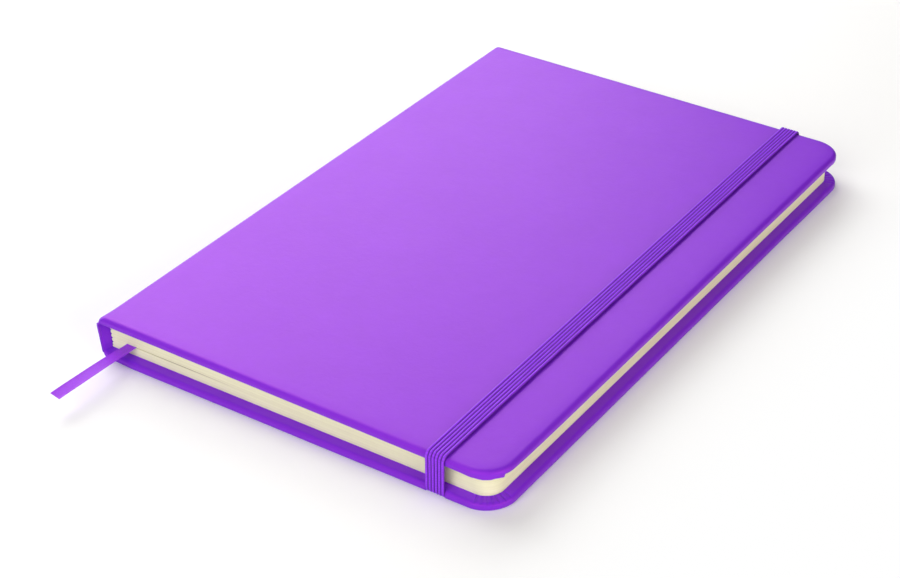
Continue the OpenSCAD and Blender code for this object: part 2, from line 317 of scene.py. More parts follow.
def woven(name, base, along, across, groove_shading, gloss):
    """Yarn lines from two waves, in cycles for each metre along and across the strip.

    For ribs, the heights of the groove bottoms and of the rib tops come with how much darker and
    lighter the colour is painted there: painted shade in the grooves and a painted highlight on
    the rib tops.
    """
    sheen = {"Sheen_Weight": 0.04, "Sheen_Roughness": 0.4}
    finish = Finish(name, Specular_IOR_Level=0.4, Specular_Tint=YARN_TINT, **sheen)
    strip = finish.place("strip_place")
    weft = (finish.axis(strip, "Y") * (2 * math.pi * along)).math("SINE")
    warp = (finish.axis(strip, "X") * (2 * math.pi * across)).math("SINE")
    fuzz = finish.noise(strip, FUZZ, 3.0, 0.6)
    yarn = weft * 0.25 + warp * 0.25 + fuzz
    tone = finish.mix(finish.between(yarn, 0.1, 1.0), shade(base, 0.82), shade(base, 1.13))
    if groove_shading:
        low, high, darker, lighter = groove_shading
        # painted shade down in the grooves, painted highlight on the rib tops
        depth = finish.between(finish.axis(strip, "Z"), low * MM, high * MM, darker, lighter)
        scaled = {0: tone, "Scale": depth}
        tone = finish.add("ShaderNodeVectorMath", {"operation": "SCALE"}, scaled)
    finish.colour(tone)
    finish.roughness(finish.between(fuzz, 0.3, 0.7, gloss, gloss + 0.1))
    finish.bump(yarn, 0.05, 0.5)
    return finish.material


# painted shade in the grooves (0.42 of the colour) and a painted highlight on the rib tops (1.22)
elastic_finish = woven("elastic_weave", ELASTIC, 1800.0, 0.0, (0.45, 0.8, 0.42, 1.22), 0.42)
ribbon_finish = woven("ribbon_satin", RIBBON, 2600.0, 4200.0, None, 0.36)
print("woven finishes ready")

# %% [markdown]
# The pages are cream, uncoated paper. On the trimmed edges every leaf shows as a fine line. The
# leaves are thinner than a tenth of a millimetre, so they are drawn with noise that is stretched
# far along the page and squeezed across the stack, once for single leaves and once for gathers of
# several. Where the ribbon parts the pages, painted shade marks the gap, which runs on from the
# ribbon and fades.

# %% Paper
PAPER = (0.970, 0.930, 0.605)
# painted shade for the gap where the ribbon parts the pages
GAP_SHADE = (0.300, 0.240, 0.080)
FIBRES, MOTTLE = 700.0, 60.0
ONE_LEAF, GATHER = (18.0, 18.0, 9000.0), (6.0, 6.0, 1400.0)
gap_level, gap_half = 5.5, (0.04, 0.16)
gap_starts, gap_fades = (-61.2, -60.4), (-45, -22)


def in_metres(span):
    return [value * MM for value in span]


def parted(finish, place, tint):
    """The tint of the page edges, with painted shade in the gap beside the ribbon."""
    along = finish.axis(place, "X")
    off_gap = (finish.axis(place, "Z") - gap_level * MM).math("ABSOLUTE")
    before = finish.between(along, *in_metres(gap_starts), 1.0, 0.0)
    past_end = finish.between(along, *in_metres(gap_fades))
    closed = finish.between(off_gap, *in_metres(gap_half)).math("MAXIMUM", before)
    return finish.mix(closed.math("MAXIMUM", past_end), GAP_SHADE, tint)


def paper(name, base, leaf_lines, attribute=None):
    finish = Finish(name, Roughness=0.75, Specular_IOR_Level=0.3)
    place = finish.place(attribute)
    fibres = finish.noise(place, FIBRES, 4.0, 0.6)
    tone = fibres * 0.4 + finish.noise(place, MOTTLE) * 0.6
    dark, light = (0.84, 1.09) if leaf_lines else (0.97, 1.02)
    if leaf_lines:
        leaves = finish.noise(finish.stretch(place, ONE_LEAF), 1.0, 3.0, 0.65)
        gathers = finish.noise(finish.stretch(place, GATHER), 1.0)
        tone = tone * 0.2 + leaves * 0.3 + gathers * 0.5
        finish.bump(leaves, 0.08, 0.6)
    else:
        finish.bump(fibres, 0.02, 0.25)
    tint = finish.mix(finish.between(tone, 0.35, 0.65), shade(base, dark), shade(base, light))
    finish.colour(parted(finish, place, tint) if leaf_lines else tint)
    return finish.material


page_edge_finish = paper("page_edges", PAPER, True)
endpaper_finish = paper("endpaper", shade(PAPER, 1.04), False, "rest_place")
print("paper ready")

# %% [markdown]
# Inside are grey bookbinder's board, a gauze lining over the folds and white sewing thread. They
# get plain finishes: flecks, crossing waves, and one wave for the twist of the thread.

# %% Board, lining and thread
FLECKS, GAUZE_WAVES, TWIST_WAVES = 1100.0, 6000.0, 14000.0


def two_tone(name, roughness, pattern, low, high, dark, light, depth):
    """A dull finish between two colours, which follow a pattern made from the place."""
    finish = Finish(name, Roughness=roughness)
    relief = pattern(finish, finish.place())
    finish.colour(finish.mix(finish.between(relief, low, high), dark, light))
    finish.bump(relief, depth, 0.5)
    return finish.material


def flecks(finish, place):
    return finish.noise(place, FLECKS, 4.0, 0.7)


def crossed_waves(finish, place):
    level, upright = ((finish.axis(place, axis) * GAUZE_WAVES).math("SINE") for axis in "YZ")
    return level.math("MAXIMUM", upright)


def twist(finish, place):
    return (finish.axis(place, "Y") * TWIST_WAVES).math("SINE")


board_finish = two_tone(
    "grey_board", 0.9, flecks, 0.35, 0.7, (0.22, 0.21, 0.19), (0.42, 0.40, 0.36), 0.1
)
lining_finish = two_tone(
    "lining_gauze", 0.85, crossed_waves, -0.2, 0.9, (0.52, 0.45, 0.32), (0.78, 0.72, 0.58), 0.06
)
thread_finish = two_tone(
    "waxed_thread", 0.5, twist, -1.0, 1.0, (0.70, 0.68, 0.60), (0.90, 0.89, 0.84), 0.04
)
inner_parts = {
    "front_board": board_finish, "back_board": board_finish, "sewing_thread": thread_finish
}
for node, material in inner_parts.items():
    frame["nodes"][node].data.materials.clear()
    frame["nodes"][node].data.materials.append(material)
print("inner parts finished:", *inner_parts)

# %% [markdown]
# ## Making a mesh piece
#
# Each piece below is worked out as a list of points in millimetres and a list of faces. One
# function turns them into a Blender mesh in metres. It also stores where each point lies at
# rest, which two of the finishes read as their place.

# %% Mesh helper
def shade_faces(name, mesh, sharp_degrees):
    mesh.shade_smooth()
    mesh.set_sharp_from_angle(angle=math.radians(sharp_degrees))
    print(f"{name}: {len(mesh.vertices)} points, {len(mesh.polygons)} faces")


def mesh_piece(
    name, points, faces, materials, strip=None, thickness=None, sharp_degrees=50, second=()
):
    """A smooth-shaded piece. strip is a second set of points, for a woven finish.

    The faces whose numbers are in second get the second material.
    """
    mesh = bpy.data.meshes.new(name)
    mesh.from_pydata([Vector(p) * MM for p in points], [], faces)
    for attribute_name, values in (("rest_place", points), ("strip_place", strip or points)):
        attribute = mesh.attributes.new(attribute_name, "FLOAT_VECTOR", "POINT")
        attribute.data.foreach_set("vector", [c * MM for value in values for c in value])
    for material in materials:
        mesh.materials.append(material)
    for i in second:
        mesh.polygons[i].material_index = 1
    piece = linked(name, mesh)
    if thickness:
        shell = piece.modifiers.new("thickness", "SOLIDIFY")
        shell.thickness, shell.offset = thickness[0] * MM, thickness[1]
        depsgraph = bpy.context.evaluated_depsgraph_get()
        mesh = bpy.data.meshes.new_from_object(
            piece.evaluated_get(depsgraph), preserve_all_data_layers=True, depsgraph=depsgraph
        )
        piece.modifiers.clear()
        piece.data = mesh
        mesh.name = name
    shade_faces(name, mesh, sharp_degrees)
    return piece


# %% Small tools for points and faces
def steps(start, end, count):
    """Evenly spaced values from start to end, both included."""
    return [start + (end - start) * i / count for i in range(count + 1)]


def lerp(a, b, t):
    return a + (b - a) * t


def smooth(low, high, value):
    """0 below low, 1 above high, with a soft slope between. It falls where low is above high."""
    t = min(1.0, max(0.0, (value - low) / (high - low)))
    return t * t * (3 - 2 * t)


def cos_sin(degrees):
    angle = math.radians(degrees)
    return math.cos(angle), math.sin(angle)


def ladder(first, second, turned=False):
    """Faces between two rows of points."""
    rungs = zip(first, first[1:], second, second[1:])
    return [(a, c, d, b) if turned else (a, b, d, c) for a, b, c, d in rungs]


def sweep_faces(rows, n, closed=True, turned=False):
    """Faces between rows of n points. A closed row is a section, and gets a cap at both ends."""
    sections = [list(range(i * n, i * n + n)) for i in range(rows)]
    loops = [section + section[:1] for section in sections] if closed else sections
    faces = [face for pair in zip(loops, loops[1:]) for face in ladder(*pair, turned)]
    if closed:
        first, last = sections[0], sections[-1]
        faces += [first, last[::-1]] if turned else [first[::-1], last]
    return faces


# %% [markdown]
# ## The flared ends of the spine
#
# Near the head and the tail the spine isn't straight. The leatherette that is turned in there
# pushes its wall outwards, most just below the front hinge, and the wall is pressed thin. The
# folds of the pages fan out with it. One function describes this: it moves a point at the spine
# outwards, and leaves every point further in where it is.

# %% Flare
swell_at_end, swell_reach, head_share = 1.8, 4, 0.4
swell_peak, swell_above, share_at_table, lifts_off = 11, 3.2, 0.2, (-0.8, 1.6)
wall_thinning, thin_from, fan_from, lining_gap = 1.55, (88, 101), (98.5, 101.5), 0.5
below_front, above_back = (14.2, 11.6), (0, 2.6)
wall_outside, wall_inside, folds_x, pages_x = -67.0, -64.9, -64.2, -61.3


def flared(point):
    x, y, z = point
    near_tail = math.exp(-(((y + half_h) / swell_reach) ** 2))
    near_head = head_share * math.exp(-(((y - half_h) / swell_reach) ** 2))
    rise = share_at_table + (1 - share_at_table) * min(z, swell_peak) / swell_peak
    rise *= 1 - (max(0.0, z - swell_peak) / swell_above) ** 2
    swell = swell_at_end * (near_tail + near_head) * (rise * smooth(*lifts_off, z))
    thin = wall_thinning * smooth(*thin_from, abs(y)) * smooth(wall_outside, wall_inside, x)
    thin *= smooth(*below_front, z) * smooth(*above_back, z)
    fan = lining_gap * smooth(*fan_from, abs(y)) * smooth(wall_inside, folds_x, x)
    return Vector((x - (swell + thin + fan) * smooth(pages_x, folds_x, x), y, z))


flare = wall_outside - flared((wall_outside, -half_h, swell_peak)).x
print(f"the spine's tail end moves out by {flare:.2f}")

# %% [markdown]
# The board in the spine, its lining and the pages are copies of the solids, which they replace.
# A copy is first cut into slices near both ends, because a long face can only follow the flare
# where it has corners.

# %% Flared copies
slices_x = (-64.1, -63.6, -63.1, -62.6, -62.1, -61.6, -61.3)
slices_y = steps(88, 97, 6) + steps(97.8, 104.2, 8)


def flared_copy(name, node, material):
    shaped = bmesh.new()
    shaped.from_mesh(frame["nodes"][node].data)
    cuts = [Vector((x, 0, 0)) for x in slices_x]
    cuts += [Vector((0, side * y, 0)) for y in slices_y for side in (1, -1)]
    for cut in cuts:
        geometry = shaped.verts[:] + shaped.edges[:] + shaped.faces[:]
        plane = {"plane_co": cut * MM, "plane_no": cut.normalized()}
        bmesh.ops.bisect_plane(shaped, geom=geometry, **plane)
    for vertex in shaped.verts:
        vertex.co = flared(vertex.co / MM) * MM
    mesh = bpy.data.meshes.new(name)
    shaped.to_mesh(mesh)
    shaped.free()
    mesh.materials.clear()
    mesh.materials.append(material)
    shade_faces(name, mesh, 30)
    stands_for(linked(name, mesh), "text_block", node)


flared_copy("leaves", "page_block", page_edge_finish)
flared_copy("spine_card", "spine_board", board_finish)
flared_copy("spine_gauze", "spine_lining", lining_finish)

# %% [markdown]
# ## The ribbon marker
#
# The ribbon is glued to the lining behind the folds, comes over the head of the pages, runs down
# between them and sticks out at the tail. It is a flat strip, so its path has a place and a turn
# at each point: upright behind the pages, and level between them. The path follows the solid
# model, and the free end also rises and twists a little. A Catmull-Rom curve through the points
# rounds the bends: its slope at a point is that between the two neighbours, scaled to each gap,
# or the long gaps would throw the short ones off.

# %% Ribbon paths
ribbon_x, ribbon_z = -59.3, 5.5
tab_x, tab_z = -64.37, 7.1
ribbon_w, ribbon_t = 3.5, 0.3


def moved(x, y, z, rows):
    """Rows of a path, each moved by the same amount, with their turns kept."""
    return [(x + dx, y + dy, z + dz, turn) for dx, dy, dz, turn in rows]


held_path = [(tab_x, y, tab_z, 0) for y in (88.5, 95, page_edge_y)]
held_path += moved(tab_x, page_edge_y, tab_z, [
    (0.25, 1.0, 0, 0), (1.0, 1.7, -0.2, 8), (2.1, 2.0, -0.6, 22), (3.3, 1.8, -1.0, 42),
])
held_path += moved(ribbon_x, page_edge_y, ribbon_z, [
    (-0.6, 1.4, 0.3, 64), (-0.15, 0.8, 0.05, 82), (0, 0.3, 0, 90), (0, -0.5, 0, 90),
])
held_path += [(ribbon_x, y, ribbon_z, 90) for y in (0, -page_edge_y)]
free_path = moved(ribbon_x, -page_edge_y, ribbon_z, [
    (0, 0, 0, 90), (0, -2, 0.06, 91), (-0.03, -5, 0.27, 93), (-0.08, -9, 0.48, 96),
    (-0.16, -13, 0.61, 98), (-0.26, -18, 0.70, 100), (-0.38, -23, 0.75, 101),
    (-0.52, -27, 0.76, 102), (-0.66, -31, 0.69, 102),
])


def rounded(path, extra):
    """The path with extra points between each pair, on a Catmull-Rom curve."""
    rows = [Vector(p) for p in path]
    gaps = [(b - a).to_3d().length for a, b in zip(rows, rows[1:])]

    def slope(i):
        if i in (0, len(rows) - 1):
            return Vector((0, 0, 0, 0))
        return (rows[i + 1] - rows[i - 1]) / (gaps[i - 1] + gaps[i])

    curve = []
    for i, gap in enumerate(gaps):
        b, c, m, n = rows[i], rows[i + 1], slope(i) * gap, slope(i + 1) * gap
        square, cube = 3 * (c - b) - 2 * m - n, 2 * (b - c) + m + n
        for t in steps(0, 1, extra)[:-1]:
            curve.append(b + m * t + square * t**2 + cube * t**3)
    return curve + [rows[-1]]


print("points given for the ribbon:", len(held_path) + len(free_path))

# %% [markdown]
# The strip is swept along its path. Its section is a flat lens with a slightly raised woven
# selvedge at each side, which catches the light as a thin bright line.

# %% Ribbon mesh
def ribbon_section():
    """Points round the section: across the width, and through the thickness."""
    across = [-0.5, -0.47, -0.42, -0.2, 0, 0.2, 0.42, 0.47, 0.5]
    raised = [0.0, 0.5, 0.38, 0.34, 0.34, 0.34, 0.38, 0.5, 0.0]
    top = list(zip(across, raised))
    return top + [(a, -h) for a, h in reversed(top[1:-1])]


def ribbon_piece(name, path, extra):
    curve, section = rounded(path, extra), ribbon_section()
    points, strip, travelled = [], [], 0.0
    for i, row in enumerate(curve):
        before, after = curve[max(i - 1, 0)], curve[min(i + 1, len(curve) - 1)]
        heading = Vector((after.x - before.x, after.y - before.y, 0)).normalized()
        side, upright = Vector((-heading.y, heading.x, 0)), Vector((0, 0, 1))
        cos, sin = cos_sin(row[3])
        across = upright * cos + side * sin
        through = side * cos - upright * sin
        if i:
            travelled += (row.to_3d() - curve[i - 1].to_3d()).length
        for a, h in section:
            place = Vector(row[:3]) + across * a * ribbon_w + through * h * ribbon_t
            points.append(flared(place) if place.y > 0 else place)
            strip.append((a * ribbon_w, travelled, 0))
    faces = sweep_faces(len(curve), len(section))
    piece = mesh_piece(name, points, faces, [ribbon_finish], strip, sharp_degrees=60)
    return piece, curve, travelled


held, _, held_length = ribbon_piece("ribbon_between_pages", held_path, 6)
stands_for(held, "text_block", "ribbon_marker")

free, free_curve, free_length = ribbon_piece("ribbon_free_end", free_path, 4)
stands_for(free, "text_block", "ribbon_tail")
[c * MM for c in free_path[0][:3]]
[[c * MM for c in p[:3]] for p in free_curve]
print(f"ribbon: {held_length:.1f} held, {free_length:.1f} free")

# %% [markdown]
# ## The case
#
# On the real notebook one sheet of leatherette covers both boards and the spine. It is drawn
# round the edges and turned in, and at each rounded corner the spare leatherette is gathered
# into small pleats on the inside. Here it is made in two halves that meet in the middle of the
# spine, because a piece can bend across only one hinge.
#
# Half a case is worked out in two steps. First comes a cross-section of the notebook: stations
# that go up half of the spine, round the hinge and out along the cover, each with a point on the
# outer face and one on the inner face. The inner corner gets a small fillet.

# %% Stations across the case
spine_half = hinges["front_hinge"].z - spine_mid_z
fillet = 0.4
square_to = 118.4
strap_from_hinge = 114.8
channel_half_w, channel_wall = 3.1, 0.03


def spine_and_hinge_stations(slope):
    """From the middle of the spine to the start of the cover, as seen from the tail."""
    found = []
    for depth in steps(spine_half, 0, 6)[:-1]:
        inner_depth = lerp(half_t + fillet, spine_half, depth / spine_half)
        found.append((Vector((-half_t, -depth)), Vector((half_t, -inner_depth))))
    for t in steps(0, 1, 10):
        turn = lerp(math.pi, math.pi / 2 - slope, t)
        outer = Vector((half_t * math.cos(turn), half_t * math.sin(turn)))
        turn = lerp(math.pi, math.pi / 2, t)
        inner_x = half_t + fillet * (1 + math.cos(turn))
        found.append((outer, Vector((inner_x, -half_t - fillet * (1 - math.sin(turn))))))
    return found


def cover_distances():
    """Distances from the hinge, with both walls of the elastic's channel."""
    walls = [
        strap_from_hinge + side * channel_half_w + step
        for side in (-1, 1)
        for step in (-channel_wall, channel_wall)
    ]
    return [1.2, 2.5, 4, 6, 10] + steps(20, 105, 17) + walls + [square_to]


print("stations:", len(spine_and_hinge_stations(lean)) + len(cover_distances()))

# %% [markdown]
# The second step is the profile of an edge: in from the middle of the face, round the outer
# edge, and back along the inner face as far as the leatherette is turned in. Each point says
# how far in from the edge it lies (inset) and how high above the middle of the board (face).
#
# The covers differ: the pages press the front cover's inner edge flat, while that of the back
# cover, which shows all round the pages, is a wide soft roll.
#
# Under the elastic the back cover has a shallow channel, so that the strap lies level with the
# underside. There the cover is thinner by the strap's thickness.

# %% Profile of an edge
turn_in = 13.0
panel_inset, panel_corner_r = 8.0, 2.0
channel_depth, channel_starts = 0.85, 88.15
pillow_reach, pillow_drop = 4.5, 0.22
front_rolls, back_rolls = (1.35, 0.6), (0.8, 1.1)
face_insets = (panel_inset, 6, 5, 4.2, 3.5, 2.9, 2.3, 1.8)
turned_in_insets = (1.4, 1.8, 2.4, 3.2, 4.2, 5.5, 7, 9, 11, turn_in)


def pillow(inset):
    """How far the face dips near the edge, where the leatherette is drawn round the board."""
    return pillow_drop * max(0.0, 1 - inset / pillow_reach) ** 2


def edge_profile(outer_r, inner_r):
    points = [(inset, half_t - pillow(inset)) for inset in face_insets]
    for cos, sin in map(cos_sin, steps(90, 0, 10)):
        inset = outer_r * (1 - cos)
        points.append((inset, half_t - outer_r + outer_r * sin - pillow(inset) * sin))
    for cos, sin in map(cos_sin, steps(0, 90, 8)):
        points.append((inner_r * (1 - cos), -half_t + inner_r - inner_r * sin))
    return points + [(inset, -half_t) for inset in turned_in_insets]


def sunk(face, depth):
    """A point of the profile where the cover is thinner by depth."""
    return face - depth * (face + half_t) / cover_t


print("profile points:", len(edge_profile(*front_rolls)))

# %% [markdown]
# Nothing made by hand is quite straight. The turned edge wanders by a few hundredths of a
# millimetre, and the pleats at a corner have uneven widths, with a cleft between each two. At the
# tail the front cover's corner is thicker where the last folds of the leatherette lie, up to a
# small step, and thinner past it. The back cover is a little larger than the front cover.

# %% Softness of the case
pleat_count, pleat_depth, pleat_unevenness = 8, 0.32, 0.035
wander, wander_length = 0.07, 17
back_grows = 0.5
fold_dip, dip_length = 0.45, 7
fold_heights = [
    (-0.3, 0.0), (0.12, -0.2), (0.32, -0.45), (0.45, -0.42), (0.55, -0.2), (0.66, -0.3),
    (0.725, -0.42), (0.74, fold_dip), (1.0, fold_dip),
]


def inner_side(face):
    """1 on the inner face of a cover, 0 on the outer face."""
    return smooth(0.3, -0.9, face)


def rim(inset):
    """1 at the rim of a cover, 0 further in."""
    return smooth(3.5, 0.5, inset)


def past_pages(inset):
    """1 where the cover reaches past the pages, 0 where they lie against it."""
    return smooth(page_inset - 0.1, page_inset - 1.2, inset)


def edge_wander(x, y, seed):
    return wander * noise.noise(Vector((x / wander_length, y / wander_length, seed)))


def pleat_sink(turn, inset, seed):
    """How deep the leatherette lies between pleats: turn goes from 0 to 1 round the corner."""
    uneven = turn + pleat_unevenness * noise.noise(Vector((turn * 5, seed, 0.5)))
    ridge = abs(math.sin(math.pi * pleat_count * uneven)) ** 0.55
    fade = smooth(0.02, 0.14, turn) * smooth(0.02, 0.14, 1 - turn) * smooth(0.05, 0.8, inset)
    return pleat_depth * (1 - ridge) * fade


def corner_fold(turn, inset):
    """How far the inner face is raised round the tail corner of the front cover."""
    for (t0, h0), (t1, h1) in zip(fold_heights, fold_heights[1:]):
        if t0 <= turn <= t1:
            return lerp(h0, h1, smooth(t0, t1, turn)) * past_pages(inset)
    return 0.0


print("pleats in each corner:", pleat_count)

# %% [markdown]
# `HalfCase` knows where the points of one half lie: at the spine between the outer and the inner
# point of a station, and on the cover at a distance from the hinge, turned by the cover's lean.
# Every point goes through the flare.

# %% Points of half a case
class HalfCase:
    def __init__(self, front):
        slope = lean if front else 0.0
        self.front = front
        self.hinge = hinges["front_hinge" if front else "back_hinge"]
        self.upwards = 1 if front else -1
        self.along = Vector((math.cos(slope), -math.sin(slope)))
        self.normal = Vector((math.sin(slope), math.cos(slope)))
        self.seed = 1.5 if front else 7.5
        self.grow = 0.0 if front else back_grows
        self.profile = edge_profile(*(front_rolls if front else back_rolls))
        self.spine_part = spine_and_hinge_stations(slope)
        self.points = []

    def add(self, flat, y):
        place = (self.hinge.x + flat.x, y, self.hinge.z + self.upwards * flat.y)
        self.points.append(flared(place))
        return len(self.points) - 1

    def channel(self, x, y):
        """How deep the channel for the elastic is there."""
        inside = abs(x - strap_from_hinge) < channel_half_w and abs(y) > channel_starts
        return channel_depth if inside and not self.front else 0.0

    def on_spine(self, index, face, y):
        outer, inner = self.spine_part[index]
        return self.add(inner.lerp(outer, (face + half_t) / cover_t), y)

    def on_cover(self, x, face, y, inner_x=None):
        face = sunk(face, self.channel(x, y))
        if inner_x is not None:
            x = lerp(inner_x, x, (face + half_t) / cover_t)
        return self.add(self.along * x + self.normal * face, y)


def ring(inset):
    """Centre and radius of the rounded fore corner of a ring that far in from the edge."""
    radius = corner_r - (corner_r - panel_corner_r) * inset / panel_inset
    radius = max(radius, panel_corner_r)
    return cover_len - inset - radius, half_h - inset - radius, radius


def distance_at(place, inset):
    """A place on the cover is a distance, or a share of the way to the rounded corner."""
    kind, value = place
    return value if kind == "cover" else lerp(square_to, ring(inset)[0], value)


print("fore corner of the panel:", [round(c, 1) for c in ring(panel_inset)])

# %% [markdown]
# A strip of faces runs once round the three open edges, with one profile at each station. The
# rounded corners shrink towards the panel, so that the strip never folds over itself. There the
# stations are a fraction of a millimetre apart, because that is where the pleats are.

# %% Stations round the edges
corner_steps = 112
fold_lead_in = 0.4
fillet_ends, growth_ends = 6, 12
fore_rows = sorted(
    [-1, 1, -0.98, -0.955, -0.9275, -0.9282, -0.89, 0.9275, 0.9282] + steps(-0.85, 0.85, 17)
)


def end_station(case, place, side):
    """The profile across the tail (side -1) or the head (side 1)."""
    made = []
    kind, value = place
    for inset, face in case.profile:
        y = side * (half_h - inset)
        if kind == "spine":
            made.append(case.on_spine(value, face, y))
            continue
        x = distance_at(place, inset)
        inner_x = x + (half_t + fillet) * max(0.0, 1 - x / fillet_ends)
        shift = edge_wander(x, side * half_h, case.seed) + case.grow * smooth(0, growth_ends, x)
        shift *= 0 if case.channel(x, y) else rim(inset)
        if case.front and side < 0 and kind == "closing":
            face += corner_fold(fold_lead_in * (value - 1), inset) * inner_side(face)
        made.append(case.on_cover(x, face, y + side * shift, inner_x))
    return made


def corner_station(case, turn, side):
    """The profile across a fore corner: turn goes from 0 at the end to 1 at the fore edge."""
    made = []
    cos, sin = cos_sin(90 * turn)
    square_on = smooth(0, 0.2, turn) * smooth(0, 0.2, 1 - turn)
    for inset, face in case.profile:
        x0, y0, radius = ring(inset)
        sink = pleat_sink(turn, inset, case.seed + side) * inner_side(face)
        if case.front and side < 0:
            sink += corner_fold(turn, inset) * inner_side(face)
        shift = edge_wander(turn * 14, side * half_h, case.seed + 3) * square_on
        reach = radius + (shift + case.grow) * rim(inset)
        made.append(case.on_cover(x0 + reach * sin, face + sink, side * (y0 + reach * cos)))
    return made


def fore_station(case, row):
    """The profile across the fore edge: row goes from -1 near the tail to 1 near the head."""
    made = []
    for inset, face in case.profile:
        x0, y0, radius = ring(inset)
        shift = edge_wander(cover_len, row * half_h, case.seed) * smooth(0, 0.1, 1 - abs(row))
        shift = (shift + case.grow) * rim(inset)
        if case.front:
            past_fold = math.exp(-(1 + row) * y0 / dip_length)
            face += fold_dip * past_fold * inner_side(face) * past_pages(inset)
        made.append(case.on_cover(x0 + radius + shift, face, row * y0))
    return made


print("rows along the fore edge:", len(fore_rows))

# %% [markdown]
# A flat panel fills the outer face inside the strip. It is a grid, and a fan of triangles joins
# it to each rounded corner. The turned-in faces get the second material, and the sheet its
# thickness.

# %% Faces of half a case
sheet_t = 0.4
turned_in_below = -0.85 * half_t


def panel_point(case, place, y):
    if place[0] == "spine":
        return case.on_spine(place[1], half_t, y)
    return case.on_cover(distance_at(place, panel_inset), half_t, y)


def half_case(name, front):
    case = HalfCase(front)
    places = [("spine", i) for i in range(len(case.spine_part))]
    places += [("cover", x) for x in cover_distances()]
    places += [("closing", t) for t in (0.25, 0.5, 0.75, 1.0)]
    turns = [i / corner_steps for i in range(1, corner_steps)]
    tail = [end_station(case, place, -1) for place in places]
    tail_corner = [corner_station(case, t, -1) for t in turns]
    fore = [fore_station(case, row) for row in fore_rows]
    head_corner = [corner_station(case, 1 - t, 1) for t in turns]
    head = [end_station(case, place, 1) for place in places]
    strip = tail + tail_corner + fore + head_corner + head[::-1]
    turned_in = [k for k, (_, face) in enumerate(case.profile[:-1]) if face < turned_in_below]
    faces, inside = [], []
    for first, second in zip(strip, strip[1:]):
        inside += [len(faces) + k for k in turned_in]
        faces += ladder(first, second)

    y_end = ring(panel_inset)[1]
    grid = [[panel_point(case, place, row * y_end) for row in fore_rows] for place in places]
    last = grid[-1]
    grid = [[t[0]] + column + [h[0]] for t, column, h in zip(tail, grid, head)]
    for first, second in zip(grid, grid[1:]):
        faces += ladder(first, second, turned=True)
    faces += ladder(last, [station[0] for station in fore], turned=True)
    tail_fan = [station[0] for station in tail[-1:] + tail_corner + fore[:1]]
    head_fan = [station[0] for station in fore[-1:] + head_corner + head[-1:]]
    for centre, fan in ((last[0], tail_fan), (last[-1], head_fan)):
        faces += [(centre, a, b) for a, b in zip(fan, fan[1:])]
    if not front:
        faces = [face[::-1] for face in faces]
    finishes = [leather_outside, leather_inside_painted_lighter]
    return mesh_piece(name, case.points, faces, finishes, thickness=(sheet_t, -1), second=inside)


front_case = half_case("front_leatherette", True)
back_case = half_case("back_leatherette", False)

# %% [markdown]
# Each half gets its transform baked into its points, so that it lies in place in the table's
# frame.

# %% Bake the case in place
def bend_at_hinge(piece):
    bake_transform(piece)


bend_at_hinge(front_case)
bend_at_hinge(back_case)
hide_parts("front_cover_leather", "spine_leather")
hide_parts("back_cover_leather")
print("the case bends at", *hinges)

# %% [markdown]
# ## Endpapers
#
# An endpaper is one sheet, folded once. Half of it is pasted down on the cover, over the
# turned-in leatherette, and the other half is the first loose leaf. Because the leatherette
# stops short of the middle, the pasted half dips from its edge down to the board, and that soft
# step shows as a frame round the inside of a cover. The fold lies a small margin out from the
# hinge, which keeps both flat halves clear of it.

# %% Shape of an endpaper
paper_t = 0.2
page_corner_r = 5.5
pasted_high, pasted_low, loose_level, fold_level = -1.4, -0.9, -1.7, -1.55
fold_start = 1.75
page_end = cover_len - page_inset


def page_reach(x):
    """Half the height of a leaf at that distance from the hinge: it has rounded fore corners."""
    over = max(0.0, x - (page_end - page_corner_r))
    return page_edge_y - page_corner_r + math.sqrt(max(0.0, page_corner_r**2 - over**2))


def pasted_level(x, y):
    """Level of the pasted half: high on the turned-in edge, low on the bare board."""
    inside = smooth(0.0, 1.0, cover_len - turn_in - x) * smooth(0.0, 1.0, half_h - turn_in - abs(y))
    inside *= smooth(fold_start, fold_start + 1.5, x)
    return lerp(pasted_high, pasted_low, inside)


def endpaper_path():
    """Distances from the hinge and levels: out of the pasted half, round the fold, and along."""
    corner = [page_end - page_corner_r * (1 - cos_sin(a)[1]) for a in steps(0, 90, 12)]
    edge = cover_len - turn_in
    xs = [fold_start, 2.2, 2.7, 3.3, 4, 6] + steps(12, 108, 16)
    xs += steps(edge - 1.2, edge + 0.2, 7) + corner
    path = [(x, None) for x in reversed(xs)]
    fold_r = (loose_level - pasted_high) / 2
    for cos, sin in map(cos_sin, steps(75, -75, 10)):
        path.append((fold_start + fold_r * cos, fold_level + fold_r * sin))
    return path + [(x, loose_level) for x in xs]


print("points along an endpaper:", len(endpaper_path()))


def endpaper(name, front):
    hinge = hinges["front_hinge" if front else "back_hinge"]
    upwards, slope = (1, lean) if front else (-1, 0.0)
    cos, sin = math.cos(slope), math.sin(slope)
    band = half_h - turn_in
    ys = [0, 20, 40, 60, 80] + steps(band - 1.2, band + 0.2, 7)
    ys += [95, 96.2, 97.5, 99, 100.5, page_edge_y]
    ys = [-y for y in reversed(ys[1:])] + ys
    points, path = [], endpaper_path()
    for x, level in path:
        reach = page_reach(x)
        for y in ys:
            y = math.copysign(min(abs(y), reach), y)
            z = pasted_level(x, y) if level is None else level
            flat = Vector((x * cos + z * sin, z * cos - x * sin))
            points.append(flared((hinge.x + flat.x, y, hinge.z + upwards * flat.y)))
    faces = sweep_faces(len(path), len(ys), closed=False)
    piece = mesh_piece(name, points, faces, [endpaper_finish], thickness=(paper_t, 0))
    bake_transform(piece)
    return piece


front_endpaper = endpaper("front_endpaper", True)
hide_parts("front_pastedown", "front_flyleaf")
back_endpaper = endpaper("back_endpaper", False)
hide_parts("back_pastedown", "back_flyleaf")

